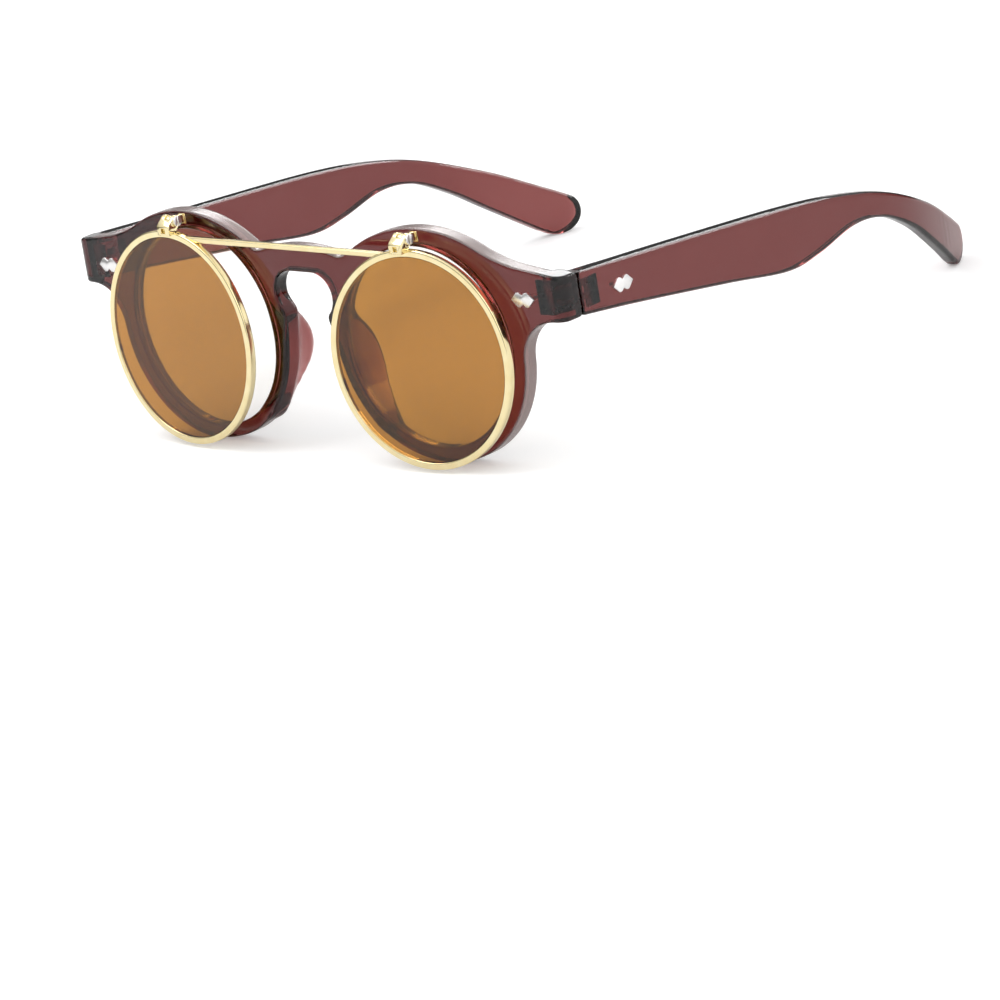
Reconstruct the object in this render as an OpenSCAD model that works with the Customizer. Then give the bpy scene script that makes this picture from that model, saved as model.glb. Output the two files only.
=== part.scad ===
// Round flip-up sunglasses: a plastic front with clear lenses and two folding temples,
// and a metal front with tinted lenses that hinges up from the brows.
// Built level, with the eye line at z = 0 and the lenses facing -Y, then leaned back a
// little so that it stands on the two rims and the two temple tips.
// "left" is the wearer's left, on the +X side.

/* [Front] */
// Width over the two end pieces
front_w = 140.4; // [136:0.2:146]
// Distance from the middle plane to each eye centre
eye_x = 32.25; // [32:0.05:32.6]
// Diameter of each eye opening
eye_d = 42.4; // [42:0.1:42.6]
// Width of the plastic round each eye opening
rim_w = 2.95; // [2.8:0.05:3.1]
// Thickness of the front
front_t = 3.8; // [3.6:0.1:4.2]
// Angle at which each half of the front wraps back round the face
face_wrap = 3; // [2:0.5:4]
// Height of the brow peaks above the eye line
brow_z = 25.1; // [24.9:0.1:25.8]
// Radius of the brow arcs
brow_r = 33.7; // [32:0.1:36]
// Height of the top of the nose arch above the eye line
arch_z = 14.3; // [14:0.1:14.8]
// Half the width of the nose arch at its widest
arch_half_w = 8.1; // [7.8:0.1:8.4]

/* [End pieces and temples] */
// Top of the end pieces above the eye line
end_top = 16.3; // [16:0.1:16.6]
// Bottom of the end pieces above the eye line
end_bottom = 6.8; // [6.6:0.1:7]
// Distance from the front plane back to the temple joint
joint_y = 7.4; // [7.3:0.1:7.6]
// Gap between an end piece and its open temple
joint_gap = 0.3; // [0.25:0.05:0.4]
// Thickness of each temple
temple_t = 3.8; // [3.6:0.1:4.2]
// Length of each temple from its joint to the back of its tip
temple_length = 131.55; // [126:0.05:137]
// How far each temple tip comes in towards the head
tip_in = 12.5; // [8:0.5:14]

/* [Flip-up front] */
// Distance from the middle plane to each flip lens centre
flip_x = 34.8; // [34.6:0.1:35]
// Outer diameter of the flip rims
flip_d = 46; // [45.8:0.1:46.2]
// Radial width of the rim wire
wire_w = 1.45; // [1.3:0.05:1.6]
// Front-to-back depth of the rim wire
wire_t = 1.6; // [1.5:0.1:1.8]
// Distance of the flip rims in front of the front plane
flip_y = 4.6; // [4.4:0.1:5]
// Angle at which each flip rim wraps back round the face
flip_wrap = 5.4; // [5:0.1:6]
// Height of the top of the flip rims above the eye line
flip_top = 22; // [21.8:0.1:22.1]
// How far the middle of the top bar lies below the top of the rims
bar_drop = 1.4; // [1.2:0.05:1.5]
// Distance from the middle plane to the middle of each flip hinge
hinge_x = 33.6; // [33.4:0.1:33.8]

/* [Hidden] */
$fn = 96;

eye_r = eye_d / 2;
rim_r = eye_r + rim_w;
rim_shift = [1.35, -0.3]; // the rims are a little wider on the temple side
end_x = front_w / 2;
brow_centre = [33.4, brow_z - brow_r];
end_slope = 7.7;
top_fillet = 34;
bottom_fillet = 9;
bend_r = 150; // plan radius of the front at the bridge
bridge_top = 19.9;
bridge_r = 38;
dip_r = 3.5; // the curve between the bridge and each brow
arch_r = 5;
pinch = [6.1, 4.6]; // where the nose opening is narrowest
pinch_r = 1;
pad = [[9.7, 2.4, 4.4], [10.6, 6.3, -1.6], [12.4, 6.5, -7], [17.2, 2.6, -16.4]]; // ridge of a nose pad
pad_r = [1.9, 2.2, 2.4, 1.9];

lens_t = 1.9;
lens_lip = 0.5;
slack = 0.05; // seat clearance all round a fitted piece

// temple hinge: five barrels on an upright axis just inside the temple
barrel_r = 1.4;
barrel_h = 1.4;
barrel_gap = 0.08;
barrel_count = 5;
pin_r = 0.7;
run = 0.03;
inner_x = end_x - 0.1 - temple_t;
axis_x = inner_x - barrel_r - 0.3;
axis_y = joint_y + barrel_r + 0.3;
hinge_z = (end_top + end_bottom) / 2;
leaf_t = 0.8;
leaf_h = 7.2;
front_leaf = [8.4, leaf_t, leaf_h];
front_leaf_y = (inner_x - 5 - eye_x) * tan(face_wrap) + front_t;
temple_leaf = [13.4, 6, 0.9]; // how far it reaches back, its height, its drop below the hinge middle
temple_leaf_y = [axis_y + barrel_r + 0.1, axis_y + temple_leaf[0]];

// rivet plaques: a pair of arrow heads, seated in the plastic
plaque = [5.8, 3, 0.75];
plaque_sink = 0.35;
rivet_r = 0.55;
rivet_pitch = 2.6;
rivet_in = 10.2; // from the end of the front to the middle of its rivet
front_rivet = [end_x - rivet_in, hinge_z - 0.1];
temple_rivet = [axis_y + 10.7, hinge_z - 1.5];

// flip hinge
flip_axis = [-3.3, 24]; // seen from the side, (y, z)
ear_r = 1.2;
lug_w = 3.4;
knuckle_w = 1.2;
knuckle_gap = 0.12;
lug_window = 1.1;
flip_pin_r = 0.5;
flip_head_r = 1.08;
flip_tilt = 2.35;
flip_r = flip_d / 2;
flip_z = flip_top - flip_r;
bar_z = flip_top - bar_drop;
rim_y = -flip_y + (flip_r - wire_w / 2) * sin(flip_tilt) + (hinge_x - flip_x) * sin(flip_wrap); // wire under the lug
lug_y = [rim_y - wire_t / 2 - 1.3, rim_y - wire_t / 2 + 0.8]; // front and back of the lug's block
lug_z = [flip_top - 0.55, flip_top + 1.3]; // its bottom and the top of its front
bar_h = 1.25;
bar_t = 1.3;
bracket_w = 1.9;
bracket_h = 2.2;
bracket_z = 22.4;
bracket_t = 0.5;
bracket_y = 0;

// temple side view: where its top and bottom edges run, back from the joint; the tables are
// drawn for the length in the middle of its range and stretch with it
joint_back = joint_y + joint_gap;
temple_end = joint_back + temple_length;
stretch = temple_length / 131.55;
function along(table) = [for (p = table) [joint_back + stretch * p[0], stretch * p[1]]];
temple_top = concat([[joint_back, end_top - 0.3]], along([
    [32.3, 13.6], [64.3, 10.9], [82.3, 8.3], [96.3, 4.6], [112.3, -2.3], [124.3, -9.1], [130.2, -12.7]
]));
temple_bottom = concat([[joint_back, end_bottom + 0.1]], along([
    [22.3, 3.7], [44.3, 0.4], [61.3, -2.3], [71.3, -1.4], [83.3, 1.1], [93.3, 0], [103.3, -5],
    [112.3, -11.4], [122.8, -19.1]
]));
tip_r = 4.75;
tip_centre = [temple_end - tip_r, -16 * stretch];

// temple plan: how far its outer face bows out, at distances back from the joint
bow_out = 0.8;
temple_bow = [
    for (p = [
        [0, 0], [18.3, 0], [42.3, bow_out / 2], [67.3, bow_out], [87.3, bow_out / 2],
        [102.3, -0.09 * tip_in], [117.3, -0.48 * tip_in], [134.3, -1.13 * tip_in]
    ]) [joint_back + stretch * p[0], p[1]]
];

// the lean that brings the tips down to the level of the rims
rim_low = -rim_r + rim_shift[1];
rim_back = front_t + 0.1;
lean_a = tip_centre[1] - rim_low;
lean_b = tip_centre[0] - rim_back;
lean = atan2(lean_a, lean_b) - asin(tip_r / norm([lean_a, lean_b]));
floor_z = -(rim_low * cos(lean) - rim_back * sin(lean));
reach_front = -flip_y - flip_r * sin(flip_wrap) - wire_t / 2;
reach_back = tip_centre[0] * cos(lean) + tip_centre[1] * sin(lean) + tip_r;
middle_y = (reach_front + reach_back) / 2;

plastic = [0.45, 0.2, 0.17, 0.85];
gold = [0.88, 0.76, 0.48];
silver = [0.9, 0.89, 0.87];
dark_steel = [0.35, 0.3, 0.28];
tint = [0.62, 0.4, 0.16, 0.8];
clear = [0.93, 0.95, 0.96, 0.3];

// Points round an arc in degrees
function arc(c, r, from, to, n = 16) =
    [for (i = [0 : n]) let (a = from + (to - from) * i / n) [c[0] + r * cos(a), c[1] + r * sin(a)]];

// One point of a smooth curve through b and c
function blend(a, b, c, d, t) =
    0.5 * (2 * b + (c - a) * t + (2 * a - 5 * b + 4 * c - d) * t * t + (3 * b - a - 3 * c + d) * t * t * t);

// A smooth curve through every given point
function smooth(p, n = 5) = let (k = len(p) - 1) concat([
    for (i = [0 : k - 1])
        for (j = [0 : n - 1])
            blend(p[max(i - 1, 0)], p[i], p[i + 1], p[min(i + 2, k)], j / n)
], [p[k]]);

// Where a fillet of radius rf sits that touches a line and a circle: the line passes
// through p along u, and the fillet lies on its side n
function fillet_centre(p, u, n, rf, c, rc) = let (
    w = p + rf * n - c,
    b = w * u,
    s = -b - sqrt(b * b - w * w + (rc + rf) * (rc + rf))
) p + rf * n + s * u;

// The direction from one point to another, in degrees
function bearing(from, to) = atan2(to[1] - from[1], to[0] - from[0]);

// Where two circles cross, on the left of the way from the first centre to the second
function crossing(c1, r1, c2, r2) = let (
    d = norm(c2 - c1),
    u = (c2 - c1) / d,
    a = (r1 * r1 - r2 * r2 + d * d) / (2 * d),
    h = sqrt(r1 * r1 - a * a)
) c1 + a * u + h * [-u[1], u[0]];

// Leans the level model back, stands it on z = 0 and centres it front to back
module standing() {
    translate([0, -middle_y, floor_z]) rotate([-lean, 0, 0]) children();
}

// Puts a left-hand piece on either side
module on(side) {
    standing() if (side > 0) children(); else mirror([1, 0, 0]) children();
}

// Turns a drawing in (x, z) into a slab from y0 back to y1
module slab(y0, y1) {
    translate([0, y1, 0]) rotate([90, 0, 0]) linear_extrude(y1 - y0) children();
}

// The local frame of one eye opening: x across, y up, z towards the viewer
module at_eye() {
    translate([eye_x, 0, 0]) rotate([0, 0, face_wrap]) rotate([90, 0, 0]) children();
}

// The local frame of one flip lens
module at_flip() {
    translate([flip_x, -flip_y, flip_z]) rotate([0, 0, flip_wrap]) rotate([90 - flip_tilt, 0, 0]) children();
}

// A ring or disc about local z, drawn as [radius, height] points
module turned(points) {
    rotate_extrude($fn = 128) polygon(points);
}

// Front view of the plastic front, in (x, z): half of it, from the top of the bridge
// round the brow, the end piece, the rim and the nose side to the top of the arch
module front_outline() {
    bridge_c = [0, bridge_top - bridge_r];
    dip_c = crossing(bridge_c, bridge_r + dip_r, brow_centre, brow_r + dip_r);
    top_c = fillet_centre(
        [end_x, end_top], [-cos(end_slope), sin(end_slope)],
        [sin(end_slope), cos(end_slope)], top_fillet, brow_centre, brow_r
    );
    rim_c = [eye_x, 0] + rim_shift;
    low_c = fillet_centre([end_x, end_bottom], [-1, 0], [0, -1], bottom_fillet, rim_c, rim_r);
    seam = atan2(rim_shift[1], rim_shift[0]) - 90;
    arch_c = [arch_half_w - arch_r, arch_z - arch_r];
    flank_z = -7;
    half = concat(
        arc(bridge_c, bridge_r, 90, bearing(bridge_c, dip_c), 8),
        arc(dip_c, dip_r, bearing(dip_c, bridge_c), bearing(dip_c, brow_centre), 5),
        arc(brow_centre, brow_r, bearing(brow_centre, dip_c), bearing(brow_centre, top_c), 40),
        arc(top_c, top_fillet, bearing(top_c, brow_centre), -90 - end_slope, 10),
        arc([end_x - 0.9, end_top - 0.95], 0.9, 82, 0, 5),
        arc([end_x - 0.9, end_bottom + 0.9], 0.9, 0, -90, 5),
        arc(low_c, bottom_fillet, 90, bearing(low_c, rim_c), 10),
        arc(rim_c, rim_r, bearing(rim_c, low_c), seam, 36),
        arc([eye_x, 0], rim_r, seam, -180 - asin(flank_z / rim_r), 24),
        arc(pinch + [pinch_r, 0], pinch_r, 194, 150, 4),
        arc(arch_c, arch_r, -50, 90, 20)
    );
    polygon(concat(
        half, [[0, arch_z]],
        [for (i = [len(half) - 1 : -1 : 1]) [-half[i][0], half[i][1]]]
    ));
}

// Plan view of the front: a wrapped plate that turns back at the two joints
module front_plan() {
    corner_r = 3.2;
    corner_y = (end_x - corner_r - eye_x) * tan(face_wrap) + corner_r + 0.1;
    return_x = inner_x - 1.2;
    // the two halves meet in a soft curve at the bridge
    bend_c = [0, bend_r / cos(face_wrap) - eye_x * tan(face_wrap)];
    bend = arc(bend_c, bend_r, -90, -90 + face_wrap, 4);
    half = concat(
        bend, arc([end_x - corner_r, corner_y], corner_r, -90 + face_wrap, 0, 10),
        [[end_x, joint_y], [inner_x, joint_y], [return_x, front_t + (return_x - eye_x) * tan(face_wrap)]],
        [for (i = [len(bend) - 1 : -1 : 0]) bend[i] + [0, front_t]]
    );
    polygon(concat(half, [for (i = [len(half) - 2 : -1 : 1]) [-half[i][0], half[i][1]]]));
}

// A moulded nose pad: a rounded ridge behind the nose side of the rim
module nose_pad() {
    hull() {
        for (i = [0 : len(pad) - 1])
            translate(pad[i]) sphere(pad_r[i], $fn = 28);
    }
}

module front_body() {
    intersection() {
        slab(-6, 12) front_outline();
        linear_extrude(80, center = true) front_plan();
    }
}

// Arrow heads with a notch top and bottom, drawn about the origin
module plaque_outline(grow = 0) {
    w = plaque[0] / 2 + grow;
    h = plaque[1] / 2 + grow;
    polygon([
        [w, 0], [w - h, h], [0.75 + grow, h], [0, h - 0.6], [-0.75 - grow, h], [h - w, h],
        [-w, 0], [h - w, -h], [-0.75 - grow, -h], [0, 0.6 - h], [0.75 + grow, -h], [w - h, -h]
    ]);
}

// The frame of the front rivets: z towards the viewer, on the wrapped front face
module at_front_rivet() {
    x = front_rivet[0];
    translate([x, (x - eye_x) * tan(face_wrap), front_rivet[1]])
        rotate([0, 0, face_wrap]) rotate([90, 0, 0]) children();
}

// The frame of the temple rivets: z outwards from the side of the temple
module at_temple_rivet() {
    translate([end_x - 0.1, temple_rivet[0], temple_rivet[1]]) rotate([90, 0, 90]) children();
}

// A plaque with its two pins, or the pocket and holes that it fits when grown
module rivet(pin_l, grow = 0) {
    translate([0, 0, -plaque_sink - grow]) linear_extrude(plaque[2] + grow) plaque_outline(grow);
    for (i = [-0.5, 0.5])
        translate([i * rivet_pitch, 0, -pin_l]) cylinder(r = rivet_r + grow, h = pin_l, $fn = 48);
}

// The pocket in the back of an end piece, and the leaf that fills it when grow is 0
module front_leaf_block(grow = 0) {
    translate([inner_x - 0.3 - front_leaf[0] - grow, front_leaf_y - leaf_t - grow, hinge_z - leaf_h / 2 - grow])
        cube([front_leaf[0] + 2 * grow, leaf_t + grow + (grow > 0 ? front_t : 0), leaf_h + 2 * grow]);
}

module temple_leaf_block(grow = 0) {
    z0 = hinge_z - temple_leaf[2] - temple_leaf[1] / 2;
    open = grow > 0 ? 1 : 0;
    translate([inner_x - open, temple_leaf_y[0] - grow, z0 - grow])
        cube([leaf_t + grow + open, temple_leaf_y[1] - temple_leaf_y[0] + 2 * grow, temple_leaf[1] + 2 * grow]);
}

module bracket_block(grow = 0) {
    translate([hinge_x - bracket_w / 2 - grow, bracket_y - (grow > 0 ? 1 : 0), bracket_z - grow])
        cube([bracket_w + 2 * grow, bracket_t + grow + (grow > 0 ? 1 : 0), bracket_h + 2 * grow]);
}

module front_frame() color(plastic) standing() difference() {
    union() {
        front_body();
        for (m = [0, 1]) mirror([m, 0, 0]) nose_pad();
    }
    for (m = [0, 1]) mirror([m, 0, 0]) {
        at_eye() cylinder(r = eye_r, h = 6 * front_t, center = true);
        at_eye() translate([0, 0, -front_t / 2 - lens_t / 2 - slack])
            cylinder(r = eye_r + lens_lip + slack, h = lens_t + 2 * slack);
        at_front_rivet() rivet(9, slack);
        front_leaf_block(slack);
        bracket_block(slack);
    }
}

module base_lens(side) color(clear) on(side) {
    at_eye() translate([0, 0, -front_t / 2]) turned([
        [0, -lens_t / 2], [eye_r + lens_lip - 0.3, -lens_t / 2], [eye_r + lens_lip, -0.3],
        [eye_r + lens_lip, 0.3], [eye_r + lens_lip - 0.3, lens_t / 2], [0, lens_t / 2]
    ]);
}

module front_rivet(side) color(silver) on(side) {
    at_front_rivet() rivet(5);
}

// One barrel of the temple hinge, counted from the bottom
module barrel(i) {
    z0 = hinge_z - barrel_count * barrel_h / 2 + i * barrel_h + barrel_gap / 2;
    translate([axis_x, axis_y, z0]) cylinder(r = barrel_r, h = barrel_h - barrel_gap, $fn = 64);
}

// The strap that ties a barrel to its leaf
module strap(i, corner, size) {
    z0 = hinge_z - barrel_count * barrel_h / 2 + i * barrel_h + barrel_gap / 2;
    translate([corner[0], corner[1], z0]) cube([size[0], size[1], barrel_h - barrel_gap]);
}

module hinge_bore(r) {
    translate([axis_x, axis_y, hinge_z - 6]) cylinder(r = r, h = 12, $fn = 64);
}

module front_hinge(side) color(dark_steel) on(side) difference() {
    union() {
        front_leaf_block();
        for (i = [0 : 2 : barrel_count - 1]) {
            barrel(i);
            strap(i, [axis_x - barrel_r, front_leaf_y - 0.4], [2 * barrel_r, axis_y - front_leaf_y + 0.4]);
        }
    }
    hinge_bore(pin_r + run);
    at_front_rivet() rivet(9, slack);
}

module temple_hinge(side) color(dark_steel) on(side) difference() {
    union() {
        temple_leaf_block();
        for (i = [1 : 2 : barrel_count - 2]) {
            barrel(i);
            strap(i, [axis_x, axis_y], [inner_x + leaf_t - axis_x, barrel_r]);
            strap(i, [inner_x, axis_y + 0.4], [leaf_t, barrel_r + 0.6]);
        }
    }
    hinge_bore(pin_r + run);
    at_temple_rivet() rivet(9, slack);
}

module hinge_screw(side) color(silver) on(side) {
    z0 = hinge_z - barrel_count * barrel_h / 2;
    z1 = hinge_z + barrel_count * barrel_h / 2;
    translate([axis_x, axis_y, 0]) difference() {
        union() {
            translate([0, 0, z0 - 0.5]) cylinder(r = pin_r, h = z1 - z0 + 0.6, $fn = 64);
            translate([0, 0, z1]) cylinder(r = 1.25, h = 0.6, $fn = 64);
        }
        translate([-2, -0.15, z1 + 0.3]) cube([4, 0.3, 1]);
    }
}

// Side view of a temple
module temple_outline() {
    tip_from = atan2(temple_top[7][1] - tip_centre[1], temple_top[7][0] - tip_centre[0]);
    tip_to = atan2(temple_bottom[9][1] - tip_centre[1], temple_bottom[9][0] - tip_centre[0]);
    bottom = smooth(temple_bottom);
    polygon(concat(
        smooth(temple_top),
        arc(tip_centre, tip_r, tip_from - 8, tip_to + 8, 14),
        [for (i = [len(bottom) - 1 : -1 : 0]) bottom[i]]
    ));
}

// Plan view of a temple: bowed a little, then curving in behind the ear
module temple_plan() {
    bow = smooth(temple_bow);
    outer = [for (p = bow) [end_x - 0.1 + p[1], p[0]]];
    polygon(concat(outer, [for (i = [len(outer) - 1 : -1 : 0]) outer[i] - [temple_t, 0]]));
}

module temple(side) color(plastic) on(side) difference() {
    intersection() {
        translate([end_x / 2, 0, 0]) rotate([90, 0, 90]) linear_extrude(end_x) temple_outline();
        linear_extrude(8 * end_top, center = true) temple_plan();
    }
    temple_leaf_block(slack);
    for (i = [1 : 2 : barrel_count - 2])
        strap(i, [inner_x - 1, axis_y - 0.1], [leaf_t + 1 + slack, barrel_r + 1]);
    at_temple_rivet() rivet(9, slack);
}

module temple_rivet(side) color(silver) on(side) {
    at_temple_rivet() rivet(temple_t - 0.2);
}

// Flip hinge drawn in side view (y, z), then given its width along x
module across(w, x = hinge_x) {
    translate([x - w / 2, 0, 0]) rotate([90, 0, 90]) linear_extrude(w) children();
}

module flip_bore(r, l = lug_w + 4) {
    translate([hinge_x - l / 2, flip_axis[0], flip_axis[1]]) rotate([0, 90, 0]) cylinder(r = r, h = l, $fn = 48);
}

module flip_bracket(side) color(gold) on(side) difference() {
    union() {
        bracket_block();
        across(knuckle_w) translate(flip_axis) circle(ear_r - 0.15);
        across(knuckle_w) polygon([
            [flip_axis[0] + 0.4, flip_axis[1] - 0.9], [flip_axis[0] + 0.4, flip_axis[1] + 0.7],
            [bracket_y + 0.2, flip_axis[1] + 0.5], [bracket_y + 0.2, flip_axis[1] - 1.3]
        ]);
    }
    flip_bore(flip_pin_r + run);
}

// The solid disc that a flip rim fills, used to seat what is soldered to it
module rim_disc(grow) {
    at_flip() translate([0, 0, -wire_t / 2 - grow]) cylinder(r = flip_r + grow, h = wire_t + 2 * grow, $fn = 128);
}

module flip_lug(side) color(gold) on(side) difference() {
    union() {
        across(lug_w) translate(flip_axis) circle(ear_r);
        across(lug_w) polygon([
            [lug_y[0], lug_z[0]], [lug_y[0], lug_z[1]], [lug_y[0] + 0.45, lug_z[1] + 0.5],
            flip_axis + ear_r * [-0.33, 0.944], flip_axis + ear_r * [0.42, -0.9],
            [lug_y[1], flip_top], [lug_y[1], lug_z[0]]
        ]);
    }
    // the slot for the bracket's knuckle
    across(knuckle_w + 2 * knuckle_gap) translate([flip_axis[0] - ear_r, flip_top - 2]) square(3 * lug_w);
    // the small window in its front
    translate([hinge_x - lug_window / 2, lug_y[0] - 1, lug_z[1] - 0.3 - lug_window])
        cube([lug_window, 1.8, lug_window]);
    rim_disc(0.02);
    flip_bore(flip_pin_r + run);
}

// Both flip screws go in from the same side, with their heads towards +X
module flip_screw(side) color(gold) standing() {
    translate([side * hinge_x, flip_axis[0], flip_axis[1]]) rotate([0, 90, 0]) difference() {
        union() {
            translate([0, 0, -lug_w / 2 - 0.1]) cylinder(r = flip_pin_r, h = lug_w + 0.3, $fn = 48);
            translate([0, 0, lug_w / 2 + 0.02]) cylinder(r = flip_head_r, h = 0.5, $fn = 48);
        }
        translate([-2, -0.14, lug_w / 2 + 0.3]) cube([4, 0.28, 1]);
    }
}

module flip_rim(side) color(gold) on(side) at_flip() difference() {
    r0 = flip_r - wire_w;
    t = wire_t / 2;
    turned([
        [r0, -t + 0.3], [r0 + 0.3, -t], [flip_r - 0.35, -t], [flip_r, -t + 0.35],
        [flip_r, t - 0.35], [flip_r - 0.35, t], [r0 + 0.3, t], [r0, t - 0.3],
        [r0, 0.35], [r0 + 0.45, 0.3], [r0 + 0.45, -0.3], [r0, -0.35]
    ]);
    // the closing cut under the lug
    translate([hinge_x - flip_x - 0.1, flip_r - 1.5 * wire_w, -wire_t]) cube([0.2, 2 * wire_w, 2 * wire_t]);
}

module flip_lens(side) color(tint) on(side) at_flip() {
    r0 = flip_r - wire_w;
    turned([
        [0, -0.65], [r0 - 0.08, -0.65], [r0 - 0.08, -0.3], [r0 + 0.35, -0.25],
        [r0 + 0.35, 0.25], [r0 - 0.08, 0.3], [r0 - 0.08, 0.65], [0, 0.65]
    ]);
}

// The straight bar between the two rims, ended on their outer faces
module flip_bar() color(gold) standing() {
    side_x = sqrt(pow(flip_r - wire_w / 2, 2) - pow(bar_z - flip_z, 2));
    bar_x = flip_x - side_x;
    bar_y = -flip_y - side_x * sin(flip_wrap) + (bar_z - flip_z) * sin(flip_tilt);
    difference() {
        translate([-bar_x - 1, bar_y, bar_z]) rotate([90, 0, 90]) linear_extrude(2 * bar_x + 2)
            polygon([
                [-bar_t / 2, -0.45], [-0.35, -bar_h / 2], [0.35, -bar_h / 2], [bar_t / 2, -0.45],
                [bar_t / 2, 0.45], [0.35, bar_h / 2], [-0.35, bar_h / 2], [-bar_t / 2, 0.45]
            ]);
        for (m = [0, 1]) mirror([m, 0, 0])
            at_flip() cylinder(r = flip_r + 0.02, h = 4 * wire_t, center = true, $fn = 128);
    }
}

front_frame();
base_lens(1);  // left_base_lens
base_lens(-1);  // right_base_lens
front_rivet(1);  // left_front_rivet
front_rivet(-1);  // right_front_rivet
front_hinge(1);  // left_front_hinge
front_hinge(-1);  // right_front_hinge
hinge_screw(1);  // left_hinge_screw
hinge_screw(-1);  // right_hinge_screw
temple(1);  // left_temple
temple(-1);  // right_temple
temple_hinge(1);  // left_temple_hinge
temple_hinge(-1);  // right_temple_hinge
temple_rivet(1);  // left_temple_rivet
temple_rivet(-1);  // right_temple_rivet
flip_bracket(1);  // left_flip_bracket
flip_bracket(-1);  // right_flip_bracket
flip_lug(1);  // left_flip_lug
flip_lug(-1);  // right_flip_lug
flip_screw(1);  // left_flip_screw
flip_screw(-1);  // right_flip_screw
flip_rim(1);  // left_flip_rim
flip_rim(-1);  // right_flip_rim
flip_lens(1);  // left_flip_lens
flip_lens(-1);  // right_flip_lens
flip_bar();
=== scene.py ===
import math
from itertools import product

import bmesh
import bpy
import numpy as np
from mathutils import Matrix, Vector


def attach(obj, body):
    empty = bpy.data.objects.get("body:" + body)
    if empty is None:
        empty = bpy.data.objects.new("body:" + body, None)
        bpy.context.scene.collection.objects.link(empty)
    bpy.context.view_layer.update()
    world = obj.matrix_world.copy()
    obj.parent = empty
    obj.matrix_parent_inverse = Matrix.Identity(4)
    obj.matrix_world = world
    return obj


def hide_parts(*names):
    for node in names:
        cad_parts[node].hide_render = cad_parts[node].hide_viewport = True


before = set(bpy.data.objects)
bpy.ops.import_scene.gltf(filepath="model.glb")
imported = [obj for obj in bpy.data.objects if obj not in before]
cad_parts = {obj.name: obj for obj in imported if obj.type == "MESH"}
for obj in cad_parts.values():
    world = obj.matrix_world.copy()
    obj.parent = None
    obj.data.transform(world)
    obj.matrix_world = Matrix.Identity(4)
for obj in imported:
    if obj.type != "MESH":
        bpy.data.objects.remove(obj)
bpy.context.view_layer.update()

# Level frame
# The shapes are drawn level, in millimetres, as in the CAD: the eye line at z = 0 and the
# lenses facing -y. placed() leans them back and stands them on the floor.
LEAN = math.radians(1.62197)
FLOOR_Z = 24.5506
MIDDLE_Y = 65.5894
MM = 0.001

# Sizes of the plastic, in millimetres. The four edges are the radii that its edges are rounded by,
# and the two steps are the grids that its surfaces are drawn on.
END_X, END_TOP, END_BOTTOM = 70.2, 16.3, 6.8
EYE_X, EYE_RADIUS, RIM_RADIUS = 32.25, 21.2, 24.15
WRAP = math.radians(3)
PLATE_THICKNESS = 3.8
PLATE_EDGE, EYE_EDGE, JOINT_EDGE, TEMPLE_EDGE = 0.5, 0.45, 0.45, 1.0
TEMPLE_THICKNESS = 3.8
OUTER_X = END_X - 0.1
INNER_X = OUTER_X - TEMPLE_THICKNESS
JOINT_Y, JOINT_GAP = 7.4, 0.3
FRONT_STEP, TEMPLE_STEP = 0.27, 0.33

# Nose pad: a ridge through these points with these radii, on a root inside the plate
PAD_RIDGE = [(9.7, 2.4, 4.4), (10.6, 6.3, -1.6), (12.4, 6.5, -7), (17.2, 2.6, -16.4)]
PAD_RADII = [1.5, 2.15, 2.35, 1.8]
PAD_ROOT_Y = 2.0
PAD_FILLET = 2.8

# Temple: its edges from the side as (y, z), and its outer face from above as (y, bow)
TIP_IN = 12.5
TIP, TIP_RADIUS = (134.5, -16.0), 4.75
TEMPLE_START = JOINT_Y + JOINT_GAP
TEMPLE_TOP = [(TEMPLE_START, END_TOP - 0.3), (40, 13.6), (72, 10.9), (90, 8.3), (104, 4.6),
              (120, -2.3), (132, -9.1), (137.9, -12.7)]
TEMPLE_BOTTOM = [(TEMPLE_START, END_BOTTOM + 0.1), (30, 3.7), (52, 0.4), (69, -2.3), (79, -1.4),
                 (91, 1.1), (101, 0), (111, -5), (120, -11.4), (130.5, -19.1)]
TEMPLE_BOW = [(TEMPLE_START, 0), (26, 0), (50, 0.4), (75, 0.8), (95, 0.4),
              (110, -0.09 * TIP_IN), (125, -0.48 * TIP_IN), (142, -1.13 * TIP_IN)]

# Where the outer edge of the plate is sawn: on the brows above one height, and on the rims between
# the nose and the end pieces, each with the width over which it fades. The pads are never sawn.
BROW_Z = 15
NOSE_X, NOSE_FADE = 16, 9
END_PIECE_X, END_PIECE_FADE = 66, 3
PAD_REACH_X, PAD_START_Y = 25, 4.3

# Sizes of the metal, in millimetres, with the middle of the flip lens on the wearer's left
FLIP_X, FLIP_Y, FLIP_Z, FLIP_RADIUS = 34.8, -4.6, -1.0, 23.0
FLIP_WRAP, FLIP_TILT = math.radians(5.4), math.radians(2.35)
WIRE_WIDTH, WIRE_THICKNESS, WIRE_EDGE = 1.45, 1.6, 0.32
GROOVE_DEPTH, GROOVE_MOUTH, GROOVE_FLOOR = 0.42, 0.34, 0.3
FRONT_LEAF_LENGTH, TEMPLE_LEAF_END_Y = 4.0, 14.4


def vec(*numbers):
    return np.array(numbers, float)


def leaned(directions):
    """Directions of the level frame, leaned back about the x axis."""
    directions = np.asarray(directions, float)
    x, y, z = directions[..., 0], directions[..., 1], directions[..., 2]
    cos, sin = math.cos(LEAN), math.sin(LEAN)
    return np.stack([x, y * cos + z * sin, z * cos - y * sin], -1)


def placed(points):
    """Points of the level frame, leaned back, stood on the floor and turned into metres."""
    return (leaned(points) + vec(0, -MIDDLE_Y, FLOOR_Z)) * MM


# Curves
def arc(centre, radius, start, end, steps=16):
    """Points along an arc between two angles in degrees."""
    angle = np.radians(np.linspace(start, end, steps + 1))
    return np.stack([centre[0] + radius * np.cos(angle), centre[1] + radius * np.sin(angle)], -1)


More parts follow.
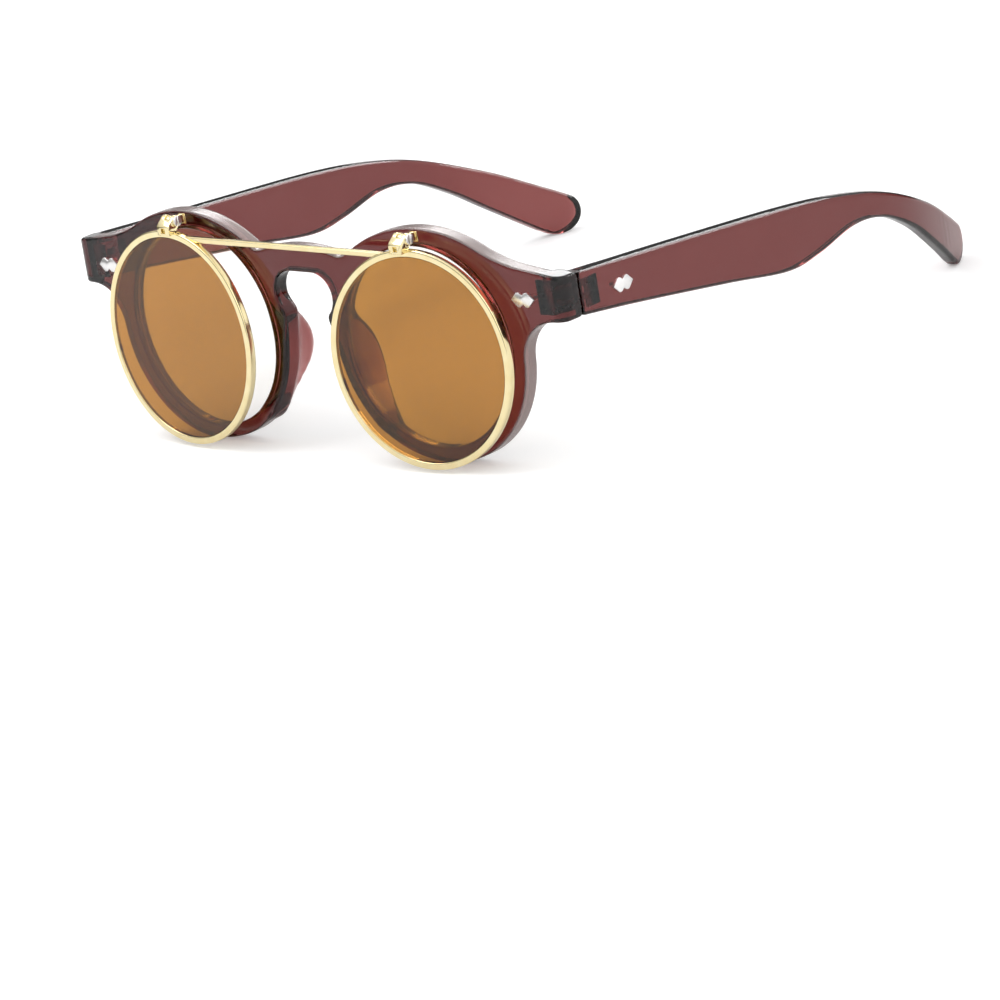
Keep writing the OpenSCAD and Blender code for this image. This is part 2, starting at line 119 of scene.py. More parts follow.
def bearing(start, end):
    """The direction from one point to another, in degrees."""
    return math.degrees(math.atan2(end[1] - start[1], end[0] - start[0]))


def crossing(centre, radius, other, other_radius):
    """Where two circles cross, on the left of the way from one centre to the other."""
    distance = np.linalg.norm(other - centre)
    way = (other - centre) / distance
    reach = (radius * radius - other_radius * other_radius + distance * distance) / (2 * distance)
    return centre + reach * way + math.sqrt(radius * radius - reach * reach) * vec(-way[1], way[0])


def fillet_centre(point, way, normal, fillet, centre, radius):
    """The centre of a fillet between a line and the outside of a circle."""
    start = point + fillet * normal
    gap = start - centre
    back = gap @ way
    return start + (-back - math.sqrt(back * back - gap @ gap + (radius + fillet) ** 2)) * way


def smooth(points, steps=8):
    """A smooth curve through points, as a row of cubic spans (Catmull-Rom)."""
    points = [np.array(point, float) for point in points]
    last = len(points) - 1
    curve = []
    for i in range(last):
        a, b, c, d = points[max(i - 1, 0)], points[i], points[i + 1], points[min(i + 2, last)]
        for t in (j / steps for j in range(steps)):
            curve.append(0.5 * (2 * b + (c - a) * t + (2 * a - 5 * b + 4 * c - d) * t * t
                                + (3 * b - a - 3 * c + d) * t ** 3))
    return np.array(curve + [points[last]])


def front_outline():
    """The front seen from the front, closed: tangent arcs round one half, then their mirror."""
    bridge_radius, brow_radius, dip_radius, hollow_radius, under_radius = 38.0, 33.7, 3.5, 34.0, 9.0
    bridge = vec(0, 19.9 - bridge_radius)
    brow = vec(33.4, 25.1 - brow_radius)
    dip = crossing(bridge, bridge_radius + dip_radius, brow, brow_radius + dip_radius)
    end_slope = 7.7
    cos, sin = math.cos(math.radians(end_slope)), math.sin(math.radians(end_slope))
    hollow = fillet_centre(vec(END_X, END_TOP), vec(-cos, sin), vec(sin, cos), hollow_radius,
                           brow, brow_radius)
    eye, outer_shift = vec(EYE_X, 0), vec(1.35, -0.3)
    outer = eye + outer_shift
    seam = bearing((0, 0), outer_shift) - 90
    under = fillet_centre(vec(END_X, END_BOTTOM), vec(-1, 0), vec(0, -1), under_radius,
                          outer, RIM_RADIUS)
    nose_end = -180 + math.degrees(math.asin(7 / RIM_RADIUS))
    corner = 0.9
    arch, arch_radius = (3.1, 9.3), 5
    half = np.concatenate([
        arc(bridge, bridge_radius, 90, bearing(bridge, dip), 12),
        arc(dip, dip_radius, bearing(dip, bridge), bearing(dip, brow), 8),
        arc(brow, brow_radius, bearing(brow, dip), bearing(brow, hollow), 50),
        arc(hollow, hollow_radius, bearing(hollow, brow), -90 - end_slope, 14),
        arc((END_X - corner, END_TOP - 0.95), corner, 82, 0, 6),
        arc((END_X - corner, END_BOTTOM + corner), corner, 0, -90, 6),
        arc(under, under_radius, 90, bearing(under, outer), 12),
        arc(outer, RIM_RADIUS, bearing(outer, under), seam, 50),
        arc(eye, RIM_RADIUS, seam, nose_end, 36),
        arc((7.1, 4.6), 1, 194, 150, 5),
        arc(arch, arch_radius, -50, 90, 24),
    ])
    other_half = half[1:][::-1] * vec(-1, 1)
    return np.concatenate([half, [[0, arch[1] + arch_radius]], other_half])


def front_plan():
    """The front seen from above, closed: a wrapped plate that turns back at the joints."""
    corner, bend_radius = 3.2, 150.0
    rise = math.tan(WRAP)
    corner_y = (END_X - corner - EYE_X) * rise + corner + 0.1
    turn_x = INNER_X - 1.2
    bend = arc((0, bend_radius / math.cos(WRAP) - EYE_X * rise), bend_radius, -90, -87, 6)
    half = np.concatenate([
        bend,
        arc((END_X - corner, corner_y), corner, -87, 0, 12),
        [[END_X, JOINT_Y], [INNER_X, JOINT_Y], [turn_x, PLATE_THICKNESS + (turn_x - EYE_X) * rise]],
        bend[::-1] + vec(0, PLATE_THICKNESS),
    ])
    return np.concatenate([half, half[1:-1][::-1] * vec(-1, 1)])


def temple_outline():
    """The temple seen from its side, closed."""
    start = bearing(TIP, TEMPLE_TOP[-1]) - 8
    end = bearing(TIP, TEMPLE_BOTTOM[-1]) + 8
    tip = arc(TIP, TIP_RADIUS, start, end, 18)
    return np.concatenate([smooth(TEMPLE_TOP), tip, smooth(TEMPLE_BOTTOM)[::-1]])


def temple_plan():
    """The temple seen from above, closed."""
    bow = smooth(TEMPLE_BOW)
    outer = np.stack([OUTER_X + bow[:, 1], bow[:, 0]], -1)
    return np.concatenate([outer, (outer - vec(TEMPLE_THICKNESS, 0))[::-1]])


# Distance fields
# A field holds the distance to a surface at the points of a grid, negative inside.
def grid_lines(start, length, step):
    return start + step * np.arange(int(length / step))


def outline_distance(outline, across, along):
    """Signed distance to a closed outline, over a grid with these two sets of lines."""
    x, y = np.meshgrid(across, along, indexing="ij")
    ends = np.roll(outline, -1, 0)
    real = np.linalg.norm(ends - outline, axis=1) > 1e-6
    nearest = np.full(x.shape, 1e9)
    inside = np.zeros(x.shape, bool)
    for start, end in zip(outline[real], ends[real]):
        dx, dy = end - start
        from_x, from_y = x - start[0], y - start[1]
        share = np.clip((from_x * dx + from_y * dy) / (dx * dx + dy * dy), 0, 1)
        nearest = np.minimum(nearest, (from_x - dx * share) ** 2 + (from_y - dy * share) ** 2)
        if abs(dy) > 1e-9:
            inside ^= ((start[1] > y) != (end[1] > y)) & (x < start[0] + dx * (y - start[1]) / dy)
    return np.where(inside, -1, 1) * np.sqrt(nearest)


def meet(a, b, radius):
    """Where both fields are inside, with the edge rounded."""
    rounded_edge = np.hypot(np.maximum(a + radius, 0), np.maximum(b + radius, 0))
    return np.minimum(np.maximum(a, b) + radius, 0) + rounded_edge - radius


def join(a, b, width):
    """Where either field is inside, with the corner between them filled over a width."""
    near = np.maximum(width - np.abs(a - b), 0) / width
    return np.minimum(a, b) - near * near * width / 4


def capsule(x, y, z, start, end, start_radius, end_radius):
    """Distance to a round bar between two points."""
    d = end - start
    share = ((x - start[0]) * d[0] + (y - start[1]) * d[1] + (z - start[2]) * d[2]) / (d @ d)
    share = np.clip(share, 0, 1)
    dx, dy, dz = x - start[0] - d[0] * share, y - start[1] - d[1] * share, z - start[2] - d[2] * share
    return np.sqrt(dx * dx + dy * dy + dz * dz) - (start_radius + (end_radius - start_radius) * share)


def blend(a, b, share):
    return a * (1 - share) + b * share


def sample(field, origin, step, points):
    """The field's value at points, by trilinear interpolation."""
    place = (points - origin) / step
    cell = np.clip(np.floor(place).astype(int), 0, np.array(field.shape) - 2)
    share = (place - cell).T
    corner = {c: field[tuple((cell + c).T)] for c in product((0, 1), repeat=3)}
    edge = {(j, k): blend(corner[0, j, k], corner[1, j, k], share[0]) for j, k in product((0, 1), repeat=2)}
    low, high = (blend(edge[0, k], edge[1, k], share[1]) for k in (0, 1))
    return blend(low, high, share[2])


def gradient(field, origin, step, points, reach):
    """How the field rises along x, y and z, from samples on both sides of each point."""
    rises = [sample(field, origin, step, points + way) - sample(field, origin, step, points - way)
             for way in np.eye(3) * reach]
    return np.stack(rises, -1) / (2 * reach)


def net_points(field, origin, step):
    """One point in each cell that the surface crosses, and the number of the point in each cell."""
    cells = tuple(n - 1 for n in field.shape)
    count = np.zeros(cells, int)
    total = np.zeros(cells + (3,))
    for axis, side, other_side in product(range(3), (0, 1), (0, 1)):
        across = [k for k in range(3) if k != axis]
        low = [slice(None, -1)] * 3
        for k, far in zip(across, (side, other_side)):
            low[k] = slice(1, None) if far else slice(None, -1)
        high = list(low)
        high[axis] = slice(1, None)
        start, end = field[tuple(low)], field[tuple(high)]
        crossed = (start < 0) != (end < 0)
        total[..., axis][crossed] += start[crossed] / (start[crossed] - end[crossed])
        total[..., across[0]] += crossed * side
        total[..., across[1]] += crossed * other_side
        count += crossed
    used = count > 0
    number = np.full(cells, -1)
    number[used] = np.arange(used.sum())
    points = (np.argwhere(used) + total[used] / count[used][:, None]) * step + origin
    return points, number


def net_quads(inside, number):
    """One quad round each grid line that the surface crosses, from the points of four cells."""
    quads = []
    for axis in range(3):
        across = [(axis + 1) % 3, (axis + 2) % 3]
        low = [slice(1, -1)] * 3
        high = [slice(1, -1)] * 3
        low[axis], high[axis] = slice(None, -1), slice(1, None)
        start, end = inside[tuple(low)], inside[tuple(high)]
        for crossed, turned in ((start & ~end, False), (~start & end, True)):
            line = np.argwhere(crossed)
            line[:, across] += 1
            corners = []
            for shift in ((-1, -1), (0, -1), (0, 0), (-1, 0)):
                cell = line.copy()
                cell[:, across] += shift
                corners.append(number[tuple(cell.T)])
            quad = np.stack(corners, -1)
            quads.append(quad[:, ::-1] if turned else quad)
    return np.concatenate(quads)


def skin(field, origin, step):
    """The surface of a field as points, quads and normals, with the points pulled onto it."""
    points, number = net_points(field, origin, step)
    quads = net_quads(field < 0, number)
    for _ in range(3):
        value = np.clip(sample(field, origin, step, points), -step, step)
        rise = gradient(field, origin, step, points, 0.5 * step)
        steepness = np.maximum((rise * rise).sum(-1), 1e-6)
        points = points - (value / steepness)[:, None] * rise
    normals = gradient(field, origin, step, points, 0.75 * step)
    normals /= np.linalg.norm(normals, axis=1)[:, None] + 1e-12
    return points, quads, normals


def mesh_object(name, points, quads, normals=None):
    """A smooth-shaded object from points of the level frame."""
    mesh = bpy.data.meshes.new(name)
    mesh.from_pydata(placed(points).tolist(), [], quads.tolist())
    mesh.update()
    mesh.polygons.foreach_set("use_smooth", [True] * len(mesh.polygons))
    if normals is not None:
        mesh.normals_split_custom_set_from_vertices(leaned(normals).tolist())
    piece = bpy.data.objects.new(name, mesh)
    bpy.context.scene.collection.objects.link(piece)
    return piece


def mirrored(points, quads, normals):
    """The same shape on the wearer's other side."""
    flip = vec(-1, 1, 1)
    return points * flip, quads[:, ::-1], normals * flip


# Plastic front
def pad_field(x, y, z):
    """Distance to the nose pad, whose ridge stands on the plate behind it."""
    ridge = smooth(PAD_RIDGE, 5)
    radius = np.interp(np.linspace(0, 3, len(ridge)), range(4), PAD_RADII)
    field = np.full(np.broadcast_shapes(x.shape, y.shape, z.shape), 1e3)
    for depth in (0, 0.4, 0.75):
        row = ridge.copy()
        row[:, 1] += (PAD_ROOT_Y - row[:, 1]) * depth
        for i in range(len(row) - 1):
            bar = capsule(x, y, z, row[i], row[i + 1], radius[i], radius[i + 1])
            field = join(field, bar, 0.5)
    return field


def snap_eye_walls(points, normals):
    """Bring the walls of the eye openings exactly onto their cylinders, and say which points they are."""
    cos, sin = math.cos(WRAP), math.sin(WRAP)
    eye_wall = np.zeros(len(points), bool)
    for side in (1, -1):
        across = (side * points[:, 0] - EYE_X) * cos + points[:, 1] * sin
        distance = np.hypot(across, points[:, 2])
        outward_x, outward_z = across / distance, points[:, 2] / distance
        outward = np.stack([side * cos * outward_x, sin * outward_x, outward_z], -1)
        # a wall point lies close to the cylinder, and its normal points along the radius
        radial = np.abs(normals[:, 0] * side * cos + normals[:, 1] * sin) ** 2 + normals[:, 2] ** 2
        wall = (np.abs(distance - EYE_RADIUS) < 0.12) & (radial > 0.97)
        points[wall] += outward[wall] * (EYE_RADIUS - distance[wall])[:, None]
        normals[wall] = -outward[wall]
        eye_wall |= wall
    return eye_wall


def sawn_share(points, normals, eye_wall):
    """1 on the sawn outer edge of the plate, 0 on its faces, ends, eye openings, pads and keyhole."""
    x, y, z = np.abs(points[:, 0]), points[:, 1], points[:, 2]
    share = np.clip((0.8 - np.abs(normals[:, 1])) / 0.35, 0, 1)
    share *= np.clip((END_PIECE_X - x) / END_PIECE_FADE, 0, 1)
    share *= np.where(z < BROW_Z, np.clip((x - NOSE_X) / NOSE_FADE, 0, 1), 1)
    share[eye_wall | ((y > PAD_START_Y) & (x < PAD_REACH_X))] = 0
    return share


def build_front():
    """The plate with its eye openings and nose pads, and how far each point is on the sawn edge."""
    # the grid holds one half with room to spare, and its first lines stand either side of the middle
    x_lines = grid_lines(-0.5 * FRONT_STEP, 72.2, FRONT_STEP)
    y_lines = grid_lines(-3.2, 13.6, FRONT_STEP)
    z_lines = grid_lines(-26.0, 53.0, FRONT_STEP)
    x, y, z = x_lines[:, None, None], y_lines[None, :, None], z_lines[None, None, :]
    outline = outline_distance(front_outline(), x_lines, z_lines)[:, None, :]
    plan = outline_distance(front_plan(), x_lines, y_lines)[:, :, None]
    field = meet(outline, plan, PLATE_EDGE)
    near_pad = slice(*np.searchsorted(x_lines, (3.8, 23.8)))
    field[near_pad] = join(field[near_pad], pad_field(x[near_pad], y, z), PAD_FILLET)
    across = (x - EYE_X) * math.cos(WRAP) + y * math.sin(WRAP)
    field = meet(field, EYE_RADIUS - np.sqrt(across * across + z * z), EYE_EDGE)
    # the half's first line gives way to the mirror of its second, and both halves meet there
    field = np.concatenate([field[:0:-1], field[1:]], 0)
    points, quads, normals = skin(field, vec(-x_lines[-1], y_lines[0], z_lines[0]), FRONT_STEP)
    eye_wall = snap_eye_walls(points, normals)
    return points, quads, normals, sawn_share(points, normals, eye_wall)


# Plastic temple
def build_temple():
    """The temple on the wearer's left."""
    x_lines = grid_lines(50.0, 23.0, TEMPLE_STEP)
    y_lines = grid_lines(6.4, 136.0, TEMPLE_STEP)
    z_lines = grid_lines(-23.2, 41.5, TEMPLE_STEP)
    outline = outline_distance(temple_outline(), y_lines, z_lines)[None]
    plan = outline_distance(temple_plan(), x_lines, y_lines)[:, :, None]
    # the edges are crisp at the joint and softer further back
    softness = np.clip((y_lines - 9) / 12, 0, 1)[None, :, None]
    edge = softness * (TEMPLE_EDGE - JOINT_EDGE) + JOINT_EDGE
    origin = vec(x_lines[0], y_lines[0], z_lines[0])
    return skin(meet(outline, plan, edge), origin, TEMPLE_STEP)


# Metal pieces
def crisp_edges(piece, angle=40):
    """Shade smoothly, apart from edges sharper than an angle in degrees."""
    mesh = piece.data
    mesh.polygons.foreach_set("use_smooth", [True] * len(mesh.polygons))
    work = bmesh.new()
    work.from_mesh(mesh)
    for edge in work.edges:
        edge.smooth = not (edge.is_manifold and edge.calc_face_angle(0) > math.radians(angle))
    work.to_mesh(mesh)
    work.free()


def bevelled(node, name, width, segments=3):
    """A copy of a CAD node's mesh with its edges eased."""
    piece = bpy.data.objects.new(name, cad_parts[node].data.copy())
    bpy.context.scene.collection.objects.link(piece)
    work = bmesh.new()
    work.from_mesh(piece.data)
    bmesh.ops.remove_doubles(work, verts=work.verts, dist=1e-6)
    bmesh.ops.dissolve_limit(work, angle_limit=math.radians(1.5), verts=work.verts, edges=work.edges)
    work.to_mesh(piece.data)
    work.free()
    bevel = piece.modifiers.new("ease", "BEVEL")
    bevel.width = width * MM
    bevel.segments = segments
    bevel.limit_method = "ANGLE"
    bevel.angle_limit = math.radians(28)
    bevel.use_clamp_overlap = True
    bevel.harden_normals = True
    view = bpy.context.evaluated_depsgraph_get()
    mesh = bpy.data.meshes.new_from_object(piece.evaluated_get(view))
    piece.modifiers.clear()
    piece.data = mesh
    crisp_edges(piece)
    return piece


def trimmed(piece, point, way):
    """Keep the part of a piece that lies past a plane, closed where it was cut."""
    work = bmesh.new()
    work.from_mesh(piece.data)
    cut = bmesh.ops.bisect_plane(work, geom=work.verts[:] + work.edges[:] + work.faces[:], dist=1e-7,
                                 plane_co=placed(point).tolist(), plane_no=leaned(way).tolist(),
                                 clear_inner=True)
    rim = [part for part in cut["geom_cut"] if isinstance(part, bmesh.types.BMEdge)]
    bmesh.ops.holes_fill(work, edges=rim)
    work.to_mesh(piece.data)
    work.free()


def at_flip(side, points):
    """Points of a flip lens (its own z towards the viewer) in the level frame."""
    x, y, z = points[..., 0], points[..., 1], points[..., 2]
    turn = math.pi / 2 - FLIP_TILT
    back = y * math.cos(turn) - z * math.sin(turn)
    up = y * math.sin(turn) + z * math.cos(turn)
    across = x * math.cos(FLIP_WRAP) - back * math.sin(FLIP_WRAP)
    back = x * math.sin(FLIP_WRAP) + back * math.cos(FLIP_WRAP)
    return np.stack([side * (across + FLIP_X), back + FLIP_Y, up + FLIP_Z], -1)


def lathe(profile, steps=220):
    """A ring from a closed profile of (radius, height), turned about its own z."""
    radius, height = np.array(profile, float).T
    angle = np.linspace(0, 2 * math.pi, steps, endpoint=False)
    points = np.stack([radius * np.cos(angle)[:, None], radius * np.sin(angle)[:, None],
                       np.tile(height, (steps, 1))], -1).reshape(-1, 3)
    size = len(profile)
    quads = []
    for i, j in product(range(steps), range(size)):
        here, there = i * size, (i + 1) % steps * size
        following = (j + 1) % size
        quads.append((there + j, there + following, here + following, here + j))
    return points, np.array(quads)


def rounded(corners, radius, steps=4):
    """A closed profile with each corner rounded."""
    corners = [np.array(corner, float) for corner in corners]
    profile = []
    for i, corner in enumerate(corners):
        sides = [corners[i - 1] - corner, corners[(i + 1) % len(corners)] - corner]
        lengths = [np.linalg.norm(side) for side in sides]
        reach = min(radius, 0.45 * lengths[0], 0.45 * lengths[1])
        start, end = (corner + side / length * reach for side, length in zip(sides, lengths))
        for t in (k / steps for k in range(steps + 1)):
            profile.append((1 - t) ** 2 * start + 2 * t * (1 - t) * corner + t * t * end)
    return profile


def build_rim(side):
    """The round wire: a softly domed band with the lens groove inside."""
    outer, inner, half = FLIP_RADIUS, FLIP_RADIUS - WIRE_WIDTH, WIRE_THICKNESS / 2
    groove = inner + GROOVE_DEPTH
    profile = [(inner, -half), (outer, -half), (outer, half), (inner, half), (inner, GROOVE_MOUTH),
               (groove, GROOVE_FLOOR), (groove, -GROOVE_FLOOR), (inner, -GROOVE_MOUTH)]
    points, quads = lathe(rounded(profile, WIRE_EDGE))
    name = ("left" if side > 0 else "right") + "_rim_wire"
    rim = mesh_object(name, at_flip(side, points), quads if side > 0 else quads[:, ::-1])
    crisp_edges(rim, 60)
    return rim


# Materials
def material(name):
    """A new material, with its node tree and its shader."""
    new = bpy.data.materials.new(name)
    new.use_nodes = True
    return new, new.node_tree, new.node_tree.nodes["Principled BSDF"]


def add_node(tree, kind, **values):
    """A new shader node with these inputs set; an input's name has _ for each space."""
    node = tree.nodes.new("ShaderNode" + kind)
    for name, value in values.items():
        node.inputs[name.replace("_", " ")].default_value = value
    return node


def noise(tree, scale, detail):
    """Noise of so many cells to the metre, fixed to the object."""
    place = add_node(tree, "TexCoord")
    clouds = add_node(tree, "TexNoise", Scale=scale, Detail=detail, Roughness=0.5)
    tree.links.new(place.outputs["Object"], clouds.inputs["Vector"])
    return clouds.outputs["Fac"]


def ramp(tree, source, stops):
    """The colour for a value, between stops of (value, colour)."""
    node = add_node(tree, "ValToRGB")
    elements = node.color_ramp.elements
    for element, (value, _) in zip(elements, (stops[0], stops[-1])):
        element.position = value
    for value, _ in stops[1:-1]:
        elements.new(value)
    for element, (_, colour) in zip(elements, stops):
        element.color = (*colour, 1)
    tree.links.new(source, node.inputs["Fac"])
    return node.outputs["Color"]


def spread(tree, source, low, high, target):
    """Drive a socket from a value between 0 and 1, spread between two limits."""
    node = add_node(tree, "MapRange", To_Min=low, To_Max=high)
    tree.links.new(source, node.inputs["Value"])
    tree.links.new(node.outputs["Result"], target)


def bump(tree, shader, source, strength, distance):
    node = add_node(tree, "Bump", Strength=strength, Distance=distance)
    tree.links.new(source, node.inputs["Height"])
    tree.links.new(node.outputs["Normal"], shader.inputs["Normal"])


def plastic(name, density):
    """Polished translucent acetate. Its colour comes from the depth of plastic that light crosses, so
    thin parts look pinker and long paths nearly black, with faint clouds and a polished waviness."""
    new, tree, shader = material(name)
    clouds = ramp(tree, noise(tree, 60, 2), [(0.3, (0.93, 0.72, 0.69)), (0.7, (0.99, 0.82, 0.79))])
    tree.links.new(clouds, shader.inputs["Base Color"])
    shader.inputs["Roughness"].default_value = 0.05
    shader.inputs["IOR"].default_value = 1.49
    shader.inputs["Specular IOR Level"].default_value = 0.32
    shader.inputs["Transmission Weight"].default_value = 1.0
    bump(tree, shader, noise(tree, 140, 1), 0.05, 0.0004)
    depth = add_node(tree, "VolumeAbsorption", Color=(0.446, 0.010, 0.004, 1), Density=density)
    tree.links.new(depth.outputs["Volume"], tree.nodes["Material Output"].inputs["Volume"])
    return new


def dull_sawn_edge(plate, haze):
    """Where the plate was sawn its polish is duller, and a little light scatters there."""
    tree = plate.node_tree
    shader = tree.nodes["Principled BSDF"]
    share = add_node(tree, "Attribute")
    share.attribute_name = "edge"
    spread(tree, share.outputs["Fac"], 1.0, 1.0 - haze, shader.inputs["Transmission Weight"])
    spread(tree, share.outputs["Fac"], 0.05, 0.2, shader.inputs["Roughness"])


def metal(name, dark, light, roughness):
    """Plated metal: slight changes of tone and roughness, and fine polishing marks."""
    new, tree, shader = material(name)
    patches = noise(tree, 400, 4)
    tree.links.new(ramp(tree, patches, [(0.3, dark), (0.7, light)]), shader.inputs["Base Color"])
    shader.inputs["Metallic"].default_value = 1.0
    spread(tree, patches, *roughness, shader.inputs["Roughness"])
    bump(tree, shader, noise(tree, 3000, 2), 0.08, 0.00005)
    return new


def lens(name, dark, light, ior):
    """A clear or tinted lens, with a barely uneven tint."""
    new, tree, shader = material(name)
    tint = ramp(tree, noise(tree, 25, 1), [(0.35, dark), (0.65, light)])
    tree.links.new(tint, shader.inputs["Base Color"])
    shader.inputs["Roughness"].default_value = 0.02
    shader.inputs["IOR"].default_value = ior
    shader.inputs["Specular IOR Level"].default_value = 0.3
    shader.inputs["Transmission Weight"].default_value = 1.0
    return new


FRONT_PLASTIC = plastic("acetate_front", 900)
TEMPLE_PLASTIC = plastic("acetate_temple", 790)
dull_sawn_edge(FRONT_PLASTIC, 0.27)
GOLD = metal("pale_gold", (0.92, 0.77, 0.42), (0.98, 0.86, 0.53), (0.12, 0.2))
SILVER = metal("bright_plate", (0.92, 0.91, 0.90), (0.98, 0.97, 0.96), (0.26, 0.38))
STEEL = metal("nickel_silver", (0.66, 0.63, 0.60), (0.76, 0.73, 0.70), (0.2, 0.32))
TINT = lens("brown_tint", (0.385, 0.168, 0.022), (0.410, 0.179, 0.025), 1.5)
CLEAR = lens("clear_lens", (0.95, 0.96, 0.955), (0.97, 0.975, 0.97), 1.45)


def dress(piece, look):
    piece.data.materials.clear()
    piece.data.materials.append(look)


def fit(piece, look, node, body):
    """Give a piece its material, and put it in the place of a CAD node."""
    dress(piece, look)
    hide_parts(node)
    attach(piece, body)


# Pieces
points, quads, normals, sawn = build_front()
front = mesh_object("plastic_front", points, quads, normals)
front.data.attributes.new("edge", "FLOAT", "POINT").data.foreach_set("value", sawn)
fit(front, FRONT_PLASTIC, "front_frame", "front")

temple = build_temple()
for side, shape in (("left", temple), ("right", mirrored(*temple))):
    arm = mesh_object(side + "_arm", *shape)
    fit(arm, TEMPLE_PLASTIC, side + "_temple", side + "_temple")

for sign, side in ((1, "left"), (-1, "right")):
    fit(build_rim(sign), GOLD, side + "_flip_rim", "flip_front")
    temple_body = side + "_temple"
    # CAD node, piece, how far its edges are eased in millimetres, material, body and slot
    for node, name, width, look, body, slot in (
        ("_flip_lug", "_fork", 0.16, GOLD, "flip_front", "gold"),
        ("_flip_screw", "_flip_pin", 0.08, SILVER, "flip_front", "gold"),
        ("_flip_bracket", "_knuckle", 0.12, GOLD, "front", "gold"),
        ("_front_rivet", "_front_plaque", 0.14, SILVER, "front", "silver"),
        ("_temple_rivet", "_temple_plaque", 0.14, SILVER, temple_body, "silver"),
        ("_front_hinge", "_front_leaf", 0.08, STEEL, "front", "hinge_steel"),
        ("_temple_hinge", "_temple_leaf", 0.08, STEEL, temple_body, "hinge_steel"),
        ("_hinge_screw", "_hinge_pin", 0.1, SILVER, "front", "silver"),
    ):
        piece = bevelled(side + node, side + name, width)
        # the leaves show only next to the joint, as in the photograph
        if name == "_front_leaf":
            trimmed(piece, (sign * (INNER_X - FRONT_LEAF_LENGTH), 0, 0), (sign, 0, 0))
        if name == "_temple_leaf":
            trimmed(piece, (0, TEMPLE_LEAF_END_Y, 0), (0, -1, 0))
        fit(piece, look, side + node, body)
    dress(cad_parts[side + "_flip_lens"], TINT)
    dress(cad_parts[side + "_base_lens"], CLEAR)

fit(bevelled("flip_bar", "top_bar", 0.52, 6), GOLD, "flip_bar", "flip_front")


# Floor
def build_floor():
    """A pale matt floor that keeps the shadow and looks white to the camera and through glass."""
    reach = 30
    corners = [(-reach, -reach, 0), (reach, -reach, 0), (reach, reach, 0), (-reach, reach, 0)]
    mesh = bpy.data.meshes.new("floor")
    mesh.from_pydata(corners, [], [(0, 1, 2, 3)])
    floor = bpy.data.objects.new("floor", mesh)
    bpy.context.scene.collection.objects.link(floor)
    paper, tree, shader = material("paper")
    shader.inputs["Base Color"].default_value = (0.86, 0.86, 0.86, 1)
    shader.inputs["Roughness"].default_value = 1.0
    shader.inputs["Specular IOR Level"].default_value = 0.0
    shader.inputs["Emission Color"].default_value = (1, 1, 1, 1)
    rays = add_node(tree, "LightPath")
    seen = add_node(tree, "Math")
    seen.operation = "MAXIMUM"
    tree.links.new(rays.outputs["Is Camera Ray"], seen.inputs[0])
    tree.links.new(rays.outputs["Is Transmission Ray"], seen.inputs[1])
    spread(tree, seen.outputs[0], 0.0, 0.30, shader.inputs["Emission Strength"])
    dress(floor, paper)


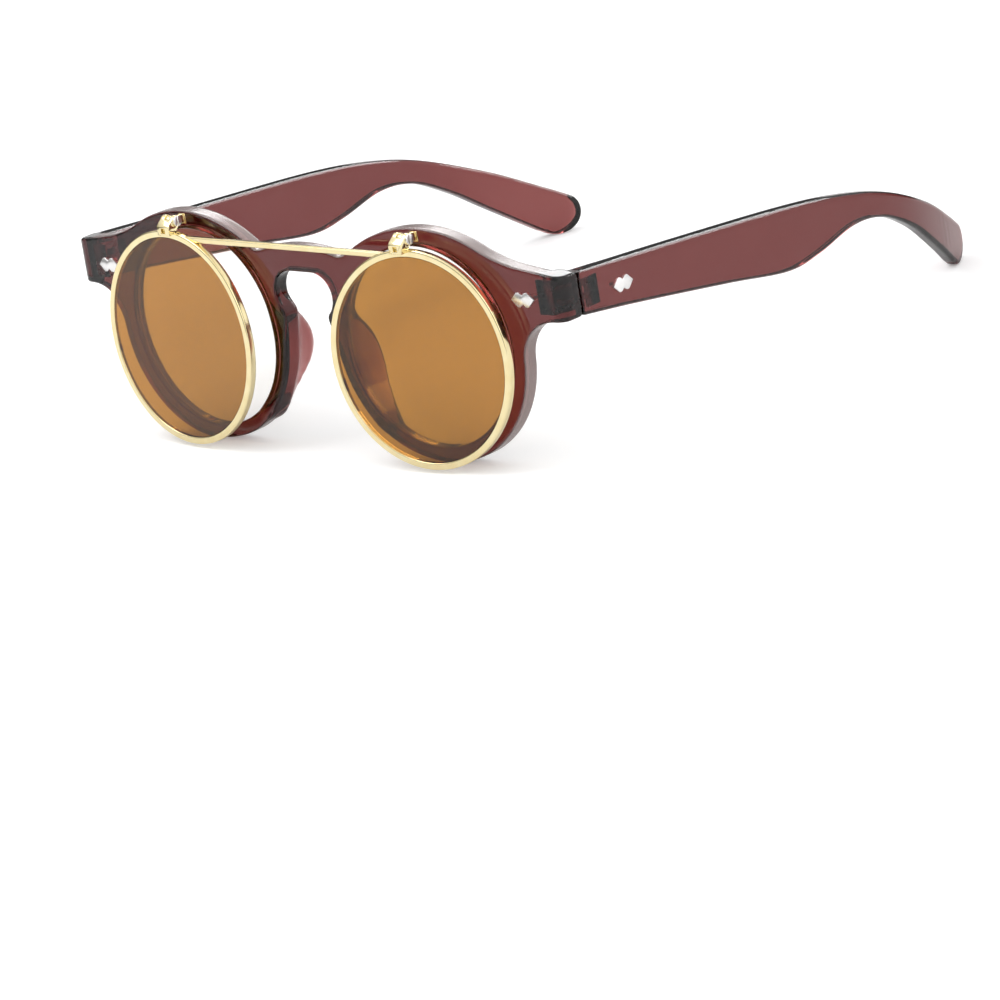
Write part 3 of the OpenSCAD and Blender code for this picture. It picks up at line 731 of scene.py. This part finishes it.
# Light
def build_world():
    """A white studio: dim low down, bright above, a broad card on one side, white to the camera."""
    world = bpy.data.worlds.new("studio")
    bpy.context.scene.world = world
    world.use_nodes = True
    tree = world.node_tree
    place = add_node(tree, "TexCoord")
    parts = add_node(tree, "SeparateXYZ")
    tree.links.new(place.outputs["Generated"], parts.inputs[0])
    greys = ((0.02, 0.10), (0.22, 0.16), (0.42, 0.85), (0.85, 1.0))
    room = ramp(tree, parts.outputs["Z"], [(height, (grey, grey, grey)) for height, grey in greys])
    towards = add_node(tree, "VectorMath")
    towards.operation = "DOT_PRODUCT"
    tree.links.new(place.outputs["Generated"], towards.inputs[0])
    card_way = (0.93, 0.25, 0.27)
    towards.inputs[1].default_value = card_way
    card = add_node(tree, "MapRange", From_Min=0.45, From_Max=0.85)
    card.interpolation_type = "SMOOTHSTEP"
    tree.links.new(towards.outputs["Value"], card.inputs["Value"])
    rays = add_node(tree, "LightPath")
    colour = room
    for share, over in ((card.outputs["Result"], 1.1), (rays.outputs["Is Camera Ray"], 1.0)):
        layer = add_node(tree, "Mix")
        layer.data_type = "RGBA"
        tree.links.new(share, layer.inputs["Factor"])
        tree.links.new(colour, layer.inputs["A"])
        layer.inputs["B"].default_value = (over, over, over, 1)
        colour = layer.outputs["Result"]
    tree.links.new(colour, tree.nodes["Background"].inputs["Color"])


def area_lamp(name, place, size, power):
    """A square white lamp, in metres, that faces the glasses."""
    lamp = bpy.data.lights.new(name, "AREA")
    lamp.energy, lamp.size = power, size
    holder = bpy.data.objects.new(name, lamp)
    bpy.context.scene.collection.objects.link(holder)
    holder.location = place
    way = Vector((0, 0, 0.02)) - Vector(place)
    holder.rotation_euler = way.to_track_quat("-Z", "Y").to_euler()
    return holder


# Camera
def build_camera():
    """The photograph's camera: its place about a target, in the level frame."""
    azimuth, elevation, roll = math.radians(45.33), math.radians(16.21), math.radians(-9.31)
    distance, target = 1395.7, vec(38.3, 7.4, -34.5)
    photo_width, focal_pixels, sensor_width = 1000, 6842.7, 36.0
    back = vec(math.sin(azimuth) * math.cos(elevation), -math.cos(azimuth) * math.cos(elevation),
               math.sin(elevation))
    right = np.cross(-back, vec(0, 0, 1))
    right /= np.linalg.norm(right)
    up = np.cross(right, -back)
    rolled_right = math.cos(roll) * right + math.sin(roll) * up
    rolled_up = -math.sin(roll) * right + math.cos(roll) * up
    camera = bpy.data.cameras.new("camera")
    camera.sensor_fit = "HORIZONTAL"
    camera.sensor_width = sensor_width
    camera.lens = focal_pixels / photo_width * sensor_width
    camera.clip_start, camera.clip_end = 0.05, 100
    holder = bpy.data.objects.new("camera", camera)
    bpy.context.scene.collection.objects.link(holder)
    columns = [leaned(rolled_right), leaned(rolled_up), leaned(back), placed(target + back * distance)]
    holder.matrix_world = Matrix([*np.stack(columns, -1).tolist(), (0, 0, 0, 1)])
    bpy.context.scene.camera = holder


build_floor()
build_world()
area_lamp("key", (-0.45, -0.35, 0.8), 0.5, 2.6)
area_lamp("fill", (0.7, -0.3, 0.5), 0.6, 0.9)
strip = area_lamp("rim_strip", (-0.05, 0.8, 0.62), 1.8, 6.5)
strip.data.shape = "RECTANGLE"
strip.data.size_y = 0.24
strip.visible_diffuse = False
build_camera()
bpy.context.scene.view_settings.view_transform = "Standard"
